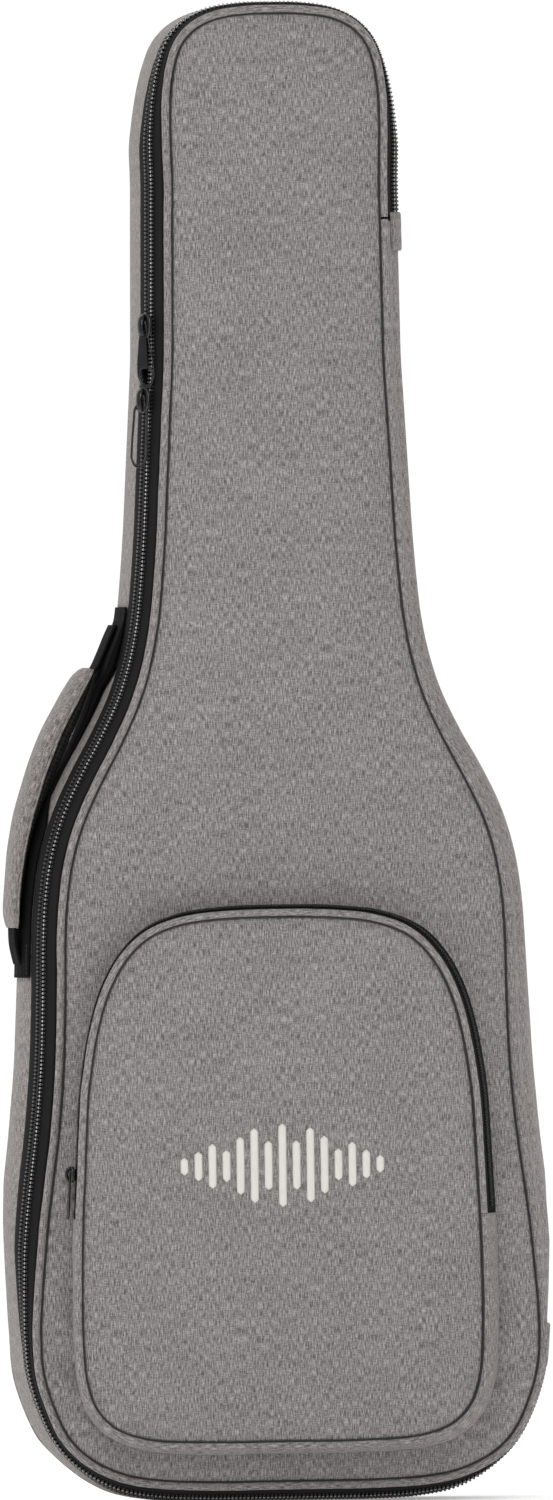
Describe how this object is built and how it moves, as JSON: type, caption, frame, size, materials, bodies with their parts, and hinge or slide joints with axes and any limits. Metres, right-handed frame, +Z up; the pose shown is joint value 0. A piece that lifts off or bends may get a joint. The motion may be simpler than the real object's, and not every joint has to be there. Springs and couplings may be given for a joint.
{
  "type": "padded gig bag",
  "caption": "Upright padded fabric gig bag for a solid-body electric guitar, with a zipped hinged front, gusset pocket, side carry handle and back straps.",
  "frame": {"origin": "middle of the bag's box at floor level, bag standing on its bottom edge", "axes": "+X to the right as seen from in front, towards the hinge side; -Y out of the front; +Z up, towards the neck end"},
  "size_m": [0.3833, 0.1765, 1.051],
  "materials": {
    "cloth": "matte",
    "piping": "matte",
    "foam": "matte",
    "lining": "matte",
    "zipper_tape": "matte",
    "zipper_teeth": "satin",
    "slider_metal": "satin",
    "webbing": "matte",
    "air_mesh": "matte",
    "buckle": "satin",
    "bumper": "matte"
  },
  "bodies": {
    "shell": {"side_wall_cloth": "cloth", "side_wall_foam": "foam", "side_wall_lining": "lining", "hinge_side_cloth": "cloth", "hinge_side_piping": "piping", "zipper_tape_body": "zipper_tape", "zipper_teeth_body": "zipper_teeth", "zipper_end_tab_top": "cloth", "zipper_end_tab_bottom": "cloth", "back_panel_cloth": "cloth", "back_panel_foam": "foam", "back_panel_lining": "lining", "back_piping": "piping", "handle_backing": "webbing", "shoulder_strap_left": "cloth", "shoulder_strap_right": "cloth", "strap_buckle_left": "buckle", "strap_buckle_right": "buckle", "strap_webbing_left": "webbing", "strap_webbing_right": "webbing", "strap_anchor_left": "cloth", "strap_anchor_right": "cloth", "strap_yoke": "cloth", "hang_loop": "webbing", "neck_rest": "foam", "bottom_bumper": "bumper"},
    "lid": {"front_panel_cloth": "cloth", "front_panel_foam": "foam", "front_panel_lining": "lining", "lid_piping": "piping", "zipper_tape_lid": "zipper_tape", "zipper_teeth_lid": "zipper_teeth", "pocket_band_lower": "cloth", "pocket_piping_lower": "piping", "pocket_front_lower": "cloth", "pocket_band_upper": "zipper_tape", "pocket_zipper_base": "zipper_tape", "pocket_teeth_base": "zipper_teeth"},
    "pocket_flap": {"flap_front": "cloth", "flap_piping": "piping", "flap_zipper": "zipper_tape", "flap_teeth": "zipper_teeth"},
    "main_slider_upper": {"main_slider_upper": "slider_metal"},
    "main_pull_upper": {"main_pull_upper": "slider_metal"},
    "main_slider_lower": {"main_slider_lower": "slider_metal"},
    "main_pull_lower": {"main_pull_lower": "slider_metal"},
    "pocket_slider": {"pocket_slider": "slider_metal"},
    "pocket_pull": {"pocket_pull": "slider_metal"},
    "carry_handle": {"handle_grip_cover": "cloth", "handle_grip_pad": "air_mesh", "handle_tab_top": "webbing", "handle_tab_bottom": "webbing"},
    "neck_strap": {"neck_strap": "webbing"}
  },
  "joints": [
    {"name": "lid_hinge", "type": "hinge", "parent": "shell", "child": "lid", "pos_m": [0.1435, -0.0525, 0.501], "axis": [-0.125, 0, 0.9922], "range_deg": [0, 80]},
    {"name": "pocket_flap_fold", "type": "hinge", "parent": "lid", "child": "pocket_flap", "pos_m": [-0.01, -0.0866, 0.2], "axis": [1, 0, 0], "range_deg": [0, 70]},
    {"name": "main_slider_upper_run", "type": "slide", "parent": "shell", "child": "main_slider_upper", "axis": [0.0119, 0, 0.9999], "range_m": [0, 0.072]},
    {"name": "main_pull_upper_swing", "type": "hinge", "parent": "main_slider_upper", "child": "main_pull_upper", "pos_m": [-0.0939, -0.0407, 0.82683], "axis": [-0.5178, 0.8555, 0.0062], "range_deg": [0, 170]},
    {"name": "main_slider_lower_run", "type": "slide", "parent": "shell", "child": "main_slider_lower", "axis": [-0.0539, 0, -0.9985], "range_m": [0, 0.062]},
    {"name": "main_pull_lower_swing", "type": "hinge", "parent": "main_slider_lower", "child": "main_pull_lower", "pos_m": [-0.09561, -0.0407, 0.77513], "axis": [-0.517, 0.8555, 0.0279], "range_deg": [0, 165]},
    {"name": "pocket_slider_run", "type": "slide", "parent": "lid", "child": "pocket_slider", "axis": [0.0545, 0, 0.9985], "range_m": [0, 0.046]},
    {"name": "pocket_pull_swing", "type": "hinge", "parent": "pocket_slider", "child": "pocket_pull", "pos_m": [-0.15749, -0.06932, 0.23423], "axis": [0.0332, 0.9994, -0.0018], "range_deg": [0, 165]},
    {"name": "carry_handle_lift", "type": "slide", "parent": "shell", "child": "carry_handle", "axis": [-0.9531, 0, 0.3028], "range_m": [0, 0.014], "stiffness_N_per_m": 60},
    {"name": "neck_strap_open", "type": "hinge", "parent": "shell", "child": "neck_strap", "pos_m": [0.057, -0.0129, 0.831], "axis": [0, 0, 1], "range_deg": [0, 9]}
  ]
}
